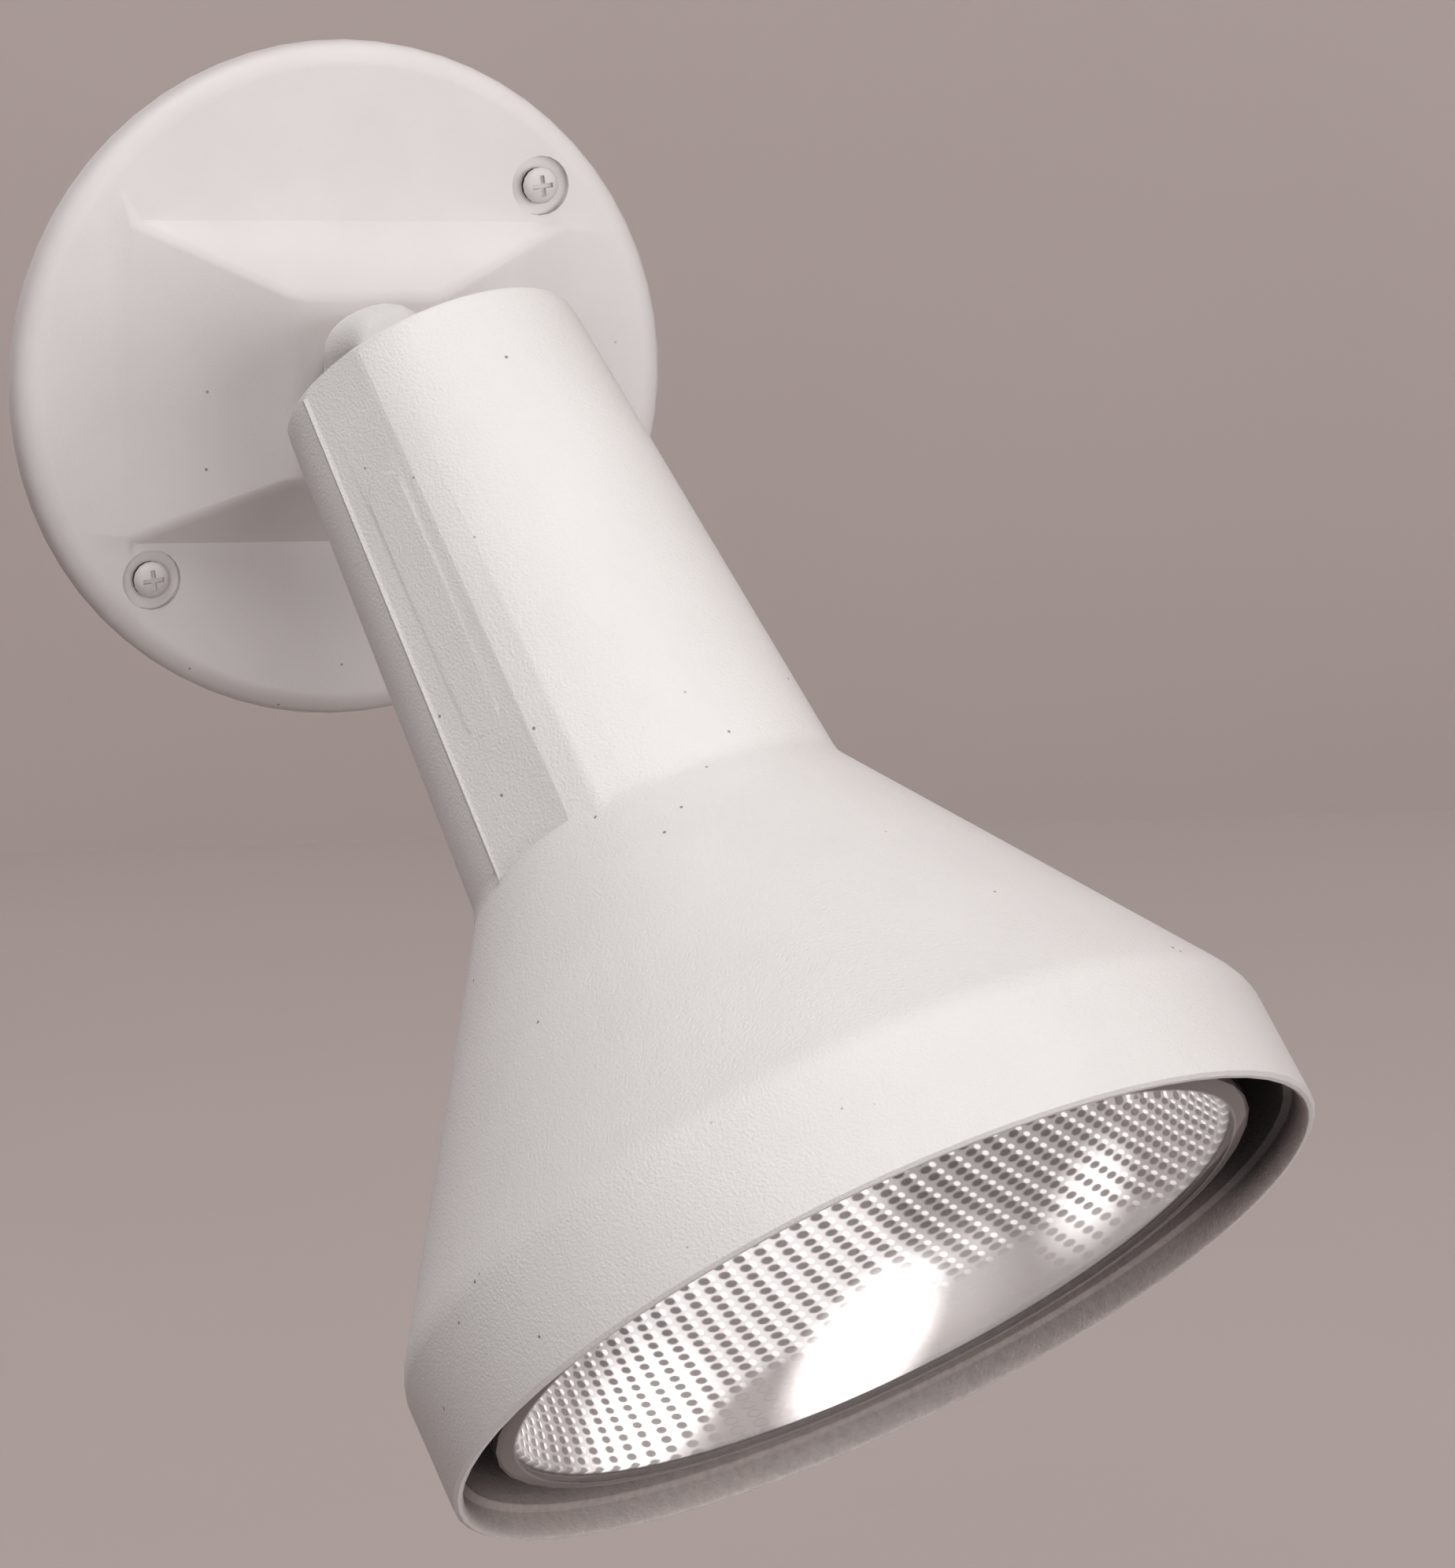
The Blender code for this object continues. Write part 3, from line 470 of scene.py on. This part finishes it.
def painted_burner_reflections(tree, angle, depth, images):
    """Painted bright patches that stand for the bowl's facets mirroring the burner."""
    around = add(tree, "ShaderNodeMath", {"operation": "MULTIPLY", 1: BOWL_RADIUS}, {0: angle})
    spot = add(tree, "ShaderNodeCombineXYZ", links={0: around.outputs[0], 1: depth})
    total = None
    for centre, middle, half_length, half_width, tilt, strength in images:
        scaled = add(
            tree, "ShaderNodeMapping",
            {
                "vector_type": "TEXTURE",
                "Location": (math.radians(centre) * BOWL_RADIUS, middle, 0.0),
                "Rotation": (0.0, 0.0, math.radians(tilt)), "Scale": (half_length, half_width, 1.0),
            },
            {"Vector": spot.outputs[0]},
        )
        away = add(tree, "ShaderNodeVectorMath", {"operation": "LENGTH"}, {0: scaled.outputs[0]})
        patch = add(
            tree, "ShaderNodeMapRange",
            {
                "interpolation_type": "SMOOTHSTEP", "From Min": 1.9, "From Max": 0.1,
                "To Max": strength,
            },
            {"Value": away.outputs["Value"]},
        ).outputs[0]
        if total is not None:
            joined = add(tree, "ShaderNodeMath", {"operation": "ADD"}, {0: total, 1: patch})
            patch = joined.outputs[0]
        total = patch
    return total


class FLOODLIGHT_OT_lamp_glass(bpy.types.Operator):
    """Finish the lamp: mirrored bowl with its dimples, clear front and burner"""
    bl_idname = "floodlight.lamp_glass"
    bl_label = "Lamp glass"

    def execute(self, context):
        prefs = looks()
        # Pressed glass with vapour-deposited aluminium inside: staggered dimples spread the beam. The burner's
        # reflection in it is painted as a glow, brighter on the ground between the dimples than in them.
        mirror, tree, shader, place = new_material("aluminised_pressed_glass")
        angle, radius, depth = lamp_coordinates(tree, place)
        cell = dimple_cells(tree, angle, depth, prefs)
        hollow = cell_spot(tree, cell, (0.42, 0.5), (0.34, 0.48))
        glint = cell_spot(tree, cell, (0.82, 0.35), (0.17, 0.40))
        # The painted reflection is brightest where the bowl mirrors the burner towards the lower left.
        turned = add(
            tree, "ShaderNodeMath", {"operation": "SUBTRACT", 1: math.radians(BRIGHT_SIDE)}, {0: angle},
        )
        turned = add(
            tree, "ShaderNodeMath", {"operation": "PINGPONG", 1: math.pi}, {0: turned.outputs[0]},
        )
        patchy = add(
            tree, "ShaderNodeTexNoise", {"Scale": 70.0, "Detail": 1.0, "Roughness": 0.5},
            {"Vector": place},
        )
        turned = add(
            tree, "ShaderNodeMath", {"operation": "MULTIPLY_ADD", 1: 0.9},
            {0: patchy.outputs[0], 2: turned.outputs[0]},
        )
        painted_ground_light = add(
            tree, "ShaderNodeMapRange",
            {
                "interpolation_type": "SMOOTHSTEP", "From Min": 1.15, "From Max": 0.70,
                "To Min": 0.40, "To Max": 1.05,
            },
            {"Value": turned.outputs[0]},
        )
        # A hollow keeps an eighth of the ground's painted light; a painted glint shines over it.
        kept = add(
            tree, "ShaderNodeMapRange", {"To Min": 1.0, "To Max": 0.13}, {"Value": hollow},
        )
        lit = add(
            tree, "ShaderNodeMath", {"operation": "MULTIPLY"},
            {0: painted_ground_light.outputs[0], 1: kept.outputs[0]},
        )
        lit = add(
            tree, "ShaderNodeMath", {"operation": "MULTIPLY_ADD", 1: 0.8},
            {0: glint, 2: lit.outputs[0]},
        )
        # Towards the rim the dimples fade into the pressed edge, which is wider round the flare and carries an
        # even painted glow.
        beside = add(
            tree, "ShaderNodeMath", {"operation": "SUBTRACT", 1: math.radians(PLAIN_SIDE)},
            {0: angle},
        )
        beside = add(
            tree, "ShaderNodeMath", {"operation": "PINGPONG", 1: math.pi}, {0: beside.outputs[0]},
        )
        later = add(
            tree, "ShaderNodeMapRange",
            {
                "interpolation_type": "SMOOTHSTEP", "From Min": 0.40, "From Max": 0.95,
                "To Max": 0.008,
            },
            {"Value": beside.outputs[0]},
        )
        slant = add(
            tree, "ShaderNodeMath", {"operation": "SUBTRACT"}, {0: depth, 1: later.outputs[0]},
        )
        edge = add(
            tree, "ShaderNodeMapRange",
            {"interpolation_type": "SMOOTHSTEP", "From Min": 0.1400, "From Max": 0.1436},
            {"Value": slant.outputs[0]},
        )
        plain_edge = add(
            tree, "ShaderNodeMix", {"data_type": "FLOAT", "B": 0.40},
            {0: edge.outputs[0], "A": lit.outputs[0]},
        )
        # The painted glow ends where the bowl is fused to the front glass.
        inside = add(
            tree, "ShaderNodeMapRange",
            {"interpolation_type": "SMOOTHSTEP", "From Min": 0.0578, "From Max": 0.0568},
            {"Value": radius},
        )
        # The painted side reflections break up over the dimples; the ones in the middle drown them.
        sides = painted_burner_reflections(tree, angle, depth, PAINTED_SIDE_REFLECTIONS)
        painted_glow = add(
            tree, "ShaderNodeMath", {"operation": "MULTIPLY_ADD"},
            {0: sides, 1: kept.outputs[0], 2: plain_edge.outputs[0]},
        )
        flare = painted_burner_reflections(tree, angle, depth, PAINTED_BURNER_REFLECTIONS)
        painted_glow = add(tree, "ShaderNodeMath", {"operation": "ADD"}, {0: painted_glow.outputs[0], 1: flare})
        # The bowl's inner face looks to the mouth and is a darkened copy of the aluminium under the painted glow;
        # its back is the plain grey of the aluminium.
        outwards = add(tree, "ShaderNodeTexCoord").outputs["Normal"]
        facing = add(
            tree, "ShaderNodeVectorMath", {"operation": "DOT_PRODUCT", 1: LAMP_Z}, {0: outwards},
        )
        front = add(
            tree, "ShaderNodeMapRange", {"From Min": -0.02, "From Max": 0.02},
            {"Value": facing.outputs["Value"]},
        )
        inside = add(
            tree, "ShaderNodeMath", {"operation": "MULTIPLY"},
            {0: inside.outputs[0], 1: front.outputs[0]},
        )
        strength = add(
            tree, "ShaderNodeMath", {"operation": "MULTIPLY"},
            {0: painted_glow.outputs[0], 1: inside.outputs[0]},
        )
        shader.inputs["Metallic"].default_value = 1.0
        shader.inputs["Roughness"].default_value = 0.3
        tone = add(
            tree, "ShaderNodeMix", {"data_type": "RGBA", 6: linear("#B4B0AF"), 7: linear("#4C4646")},
            {0: front.outputs[0]},
        )
        tree.links.new(tone.outputs[2], shader.inputs["Base Color"])
        # The bowl's glow is painted light that stands for the burner's reflection.
        shader.inputs["Emission Color"].default_value = linear("#FFFBFA")
        tree.links.new(strength.outputs[0], shader.inputs["Emission Strength"])
        pressed = add(
            tree, "ShaderNodeMath", {"operation": "MULTIPLY"}, {0: hollow, 1: front.outputs[0]},
        )
        bump = add(
            tree, "ShaderNodeBump", {"Strength": 0.5, "Distance": 0.0003, "invert": True},
            {"Height": pressed.outputs[0]},
        )
        tree.links.new(bump.outputs[0], shader.inputs["Normal"])
        dress(mirror, "lamp_reflector")
        # Clear pressed glass front: thin and even, so it hardly bends what is behind it. Its
        # reflections come from the coat, and the flange where the halves are fused is greyish.
        clear, tree, shader, place = new_material("clear_pressed_glass")
        shader.inputs["Roughness"].default_value = 0.02
        shader.inputs["IOR"].default_value = 1.04
        shader.inputs["Coat Weight"].default_value = 0.7
        shader.inputs["Coat IOR"].default_value = 1.47
        radius = lamp_coordinates(tree, place)[1]
        fused = add(
            tree, "ShaderNodeMapRange",
            {"From Min": 0.0574, "From Max": 0.0580, "To Min": 1.0, "To Max": 0.0},
            {"Value": radius},
        )
        tree.links.new(fused.outputs[0], shader.inputs["Transmission Weight"])
        tone = add(
            tree, "ShaderNodeMix", {"data_type": "RGBA", 6: linear("#7D7573"), 7: linear("#F4F2F1")},
            {0: fused.outputs[0]},
        )
        tree.links.new(tone.outputs[2], shader.inputs["Base Color"])
        dress(clear, "lamp_lens")
        # Quartz capsule, frosted by its own light while it burns.
        quartz, tree, shader, place = new_material("glowing_quartz")
        shader.inputs["Roughness"].default_value = 0.3
        shader.inputs["Emission Color"].default_value = linear("#FFFDF8")
        shader.inputs["Emission Strength"].default_value = prefs.glow
        two_tone(tree, shader, place, "#FFFDF8", "#F4EFE6", 200.0)
        dress(quartz, "burner_capsule")
        return {"FINISHED"}


# The studio's lamps: name, degrees to the right of the front, degrees up, degrees across, power.
LAMPS = (
    ("front_light", 6.0, 0.0, 26.0, 0.86),
    ("right_light", 36.0, 6.0, 36.0, 0.88),
    ("fill_light", -26.0, 4.0, 20.0, 0.50),
    ("top_light", -70.0, 66.0, 40.0, 1.60),
)
LAMP_DISTANCE = 2.0
PAPER_SIZE = 6.0
FLOOR_PLACE = (0.0, 0.0, -0.42)
BACKDROP_PLACE = (0.0, 1.6, 1.0)

# The camera stands where the photograph's outlines put it, and has the same angle of view.
COVER_DROP = 52.4
CAMERA_PLACE = Vector((-337.97, -1043.28, 114.41 - COVER_DROP)) * MM
CAMERA_RIGHT = Vector((0.932831, -0.358603, 0.035076))
CAMERA_DOWN = Vector((-0.025347, -0.162417, -0.986397))
CAMERA_AHEAD = Vector((0.359421, 0.919252, -0.160597))
FOCAL_PIXELS = 8713.9
FRAME_HEIGHT = 1992.0
SENSOR = 36.0


def distant_lamp(name, azimuth, elevation, spread, power):
    """A broad soft source far away."""
    data = bpy.data.lights.new(name, "SUN")
    data.energy = power
    data.angle = math.radians(spread)
    lamp = bpy.data.objects.new(name, data)
    bpy.context.scene.collection.objects.link(lamp)
    across = math.radians(azimuth)
    up = math.radians(elevation)
    level = math.cos(up)
    towards = Vector((level * math.sin(across), -level * math.cos(across), math.sin(up)))
    lamp.location = towards * LAMP_DISTANCE
    lamp.rotation_euler = (-towards).to_track_quat("-Z", "Y").to_euler()


def studio_paper(name, tone, other):
    """Matt paper that the camera, mirrors and glass see, and that throws back little light."""
    paper, tree, shader, place = new_material(name)
    shader.inputs["Roughness"].default_value = 0.95
    shader.inputs["Specular IOR Level"].default_value = 0.0
    two_tone(tree, shader, place, tone, other, 3.0)
    path = add(tree, "ShaderNodeLightPath")
    seen = add(
        tree, "ShaderNodeMath", {"operation": "ADD"},
        {0: path.outputs["Is Camera Ray"], 1: path.outputs["Is Glossy Ray"]},
    )
    seen = add(
        tree, "ShaderNodeMath", {"operation": "ADD", "use_clamp": True},
        {0: seen.outputs[0], 1: path.outputs["Is Transmission Ray"]},
    )
    dull = add(tree, "ShaderNodeBsdfDiffuse", {"Color": linear("#847977")})
    mixed = add(
        tree, "ShaderNodeMixShader",
        links={0: seen.outputs[0], 1: dull.outputs[0], 2: shader.outputs[0]},
    )
    tree.links.new(mixed.outputs[0], tree.nodes["Material Output"].inputs["Surface"])
    return paper


class FLOODLIGHT_OT_studio(bpy.types.Operator):
    """Set the floor, the backdrop, the lights and the camera"""
    bl_idname = "floodlight.studio"
    bl_label = "Studio"

    def execute(self, context):
        scene = context.scene
        papers = [
            studio_paper("floor_paper", "#C1B7B5", "#BFB5B3"),
            studio_paper("backdrop_paper", "#BAAEAC", "#B8ACAA"),
        ]
        bpy.ops.object.select_all(action="DESELECT")
        bpy.ops.mesh.primitive_plane_add(size=PAPER_SIZE, location=FLOOR_PLACE)
        floor = context.active_object
        floor.name = "studio_floor"
        floor.data.materials.append(papers[0])
        bpy.ops.mesh.primitive_plane_add(
            size=PAPER_SIZE, location=BACKDROP_PLACE, rotation=(math.radians(90.0), 0.0, 0.0),
        )
        wall = context.active_object
        wall.name = "studio_backdrop"
        wall.data.materials.append(papers[1])
        for lamp in LAMPS:
            distant_lamp(*lamp)
        world = bpy.data.worlds.new("studio_air")
        world.use_nodes = True
        # Light comes only from above the horizon, as under a large overhead diffuser, and a
        # dark flag on the left keeps it off that side.
        tree = world.node_tree
        background = tree.nodes["Background"]
        background.inputs["Color"].default_value = linear("#FFEBE5")
        ray = add(tree, "ShaderNodeTexCoord").outputs["Generated"]
        split = add(tree, "ShaderNodeSeparateXYZ", links={0: ray})
        sky = add(
            tree, "ShaderNodeMapRange",
            {
                "interpolation_type": "SMOOTHSTEP", "From Min": -0.1, "From Max": 0.15,
                "To Min": 0.0, "To Max": 0.30,
            },
            {"Value": split.outputs[2]},
        )
        flag = add(
            tree, "ShaderNodeMapRange",
            {
                "interpolation_type": "SMOOTHSTEP", "From Min": -0.9, "From Max": -0.3,
                "To Min": 0.15, "To Max": 1.0,
            },
            {"Value": split.outputs[0]},
        )
        share = add(
            tree, "ShaderNodeMath", {"operation": "MULTIPLY"}, {0: sky.outputs[0], 1: flag.outputs[0]},
        )
        tree.links.new(share.outputs[0], background.inputs["Strength"])
        # Beyond the papers the camera sees their own tone.
        path = add(tree, "ShaderNodeLightPath")
        beyond = add(tree, "ShaderNodeBackground", {"Color": linear("#A79996"), "Strength": 1.0})
        mixed = add(
            tree, "ShaderNodeMixShader",
            links={0: path.outputs["Is Camera Ray"], 1: background.outputs[0], 2: beyond.outputs[0]},
        )
        tree.links.new(mixed.outputs[0], tree.nodes["World Output"].inputs["Surface"])
        scene.world = world
        scene.view_settings.view_transform = "Standard"
        data = bpy.data.cameras.new("photo_camera")
        data.sensor_fit = "AUTO"
        data.sensor_width = SENSOR
        data.lens = FOCAL_PIXELS * SENSOR / FRAME_HEIGHT
        camera = bpy.data.objects.new("photo_camera", data)
        scene.collection.objects.link(camera)
        turn = Matrix((CAMERA_RIGHT, -CAMERA_DOWN, -CAMERA_AHEAD)).transposed()
        camera.matrix_world = Matrix.Translation(CAMERA_PLACE) @ turn.to_4x4()
        scene.camera = camera
        return {"FINISHED"}


PIECE_OPERATORS = (
    FLOODLIGHT_OT_coated_castings,
    FLOODLIGHT_OT_fittings,
    FLOODLIGHT_OT_lamp_glass,
    FLOODLIGHT_OT_studio,
)


class FLOODLIGHT_PT_panel(bpy.types.Panel):
    """Floodlight pieces and finishes"""
    bl_idname = "FLOODLIGHT_PT_panel"
    bl_label = "Floodlight"
    bl_space_type = "VIEW_3D"
    bl_region_type = "UI"
    bl_category = "Floodlight"

    def draw(self, context):
        for operator in PIECE_OPERATORS:
            self.layout.operator(operator.bl_idname)


CLASSES = (FloodlightLooks, *PIECE_OPERATORS, FLOODLIGHT_PT_panel)


def register():
    """Register the classes and the property group."""
    for item in CLASSES:
        bpy.utils.register_class(item)
    bpy.types.Scene.floodlight_looks = bpy.props.PointerProperty(type=FloodlightLooks)


def unregister():
    """Remove the classes and the property group."""
    del bpy.types.Scene.floodlight_looks
    for item in reversed(CLASSES):
        bpy.utils.unregister_class(item)


def main():
    """Dress the floodlight and set up its studio."""
    register()
    bpy.ops.floodlight.coated_castings()
    bpy.ops.floodlight.fittings()
    bpy.ops.floodlight.lamp_glass()
    bpy.ops.floodlight.studio()


if __name__ == "__main__":
    main()
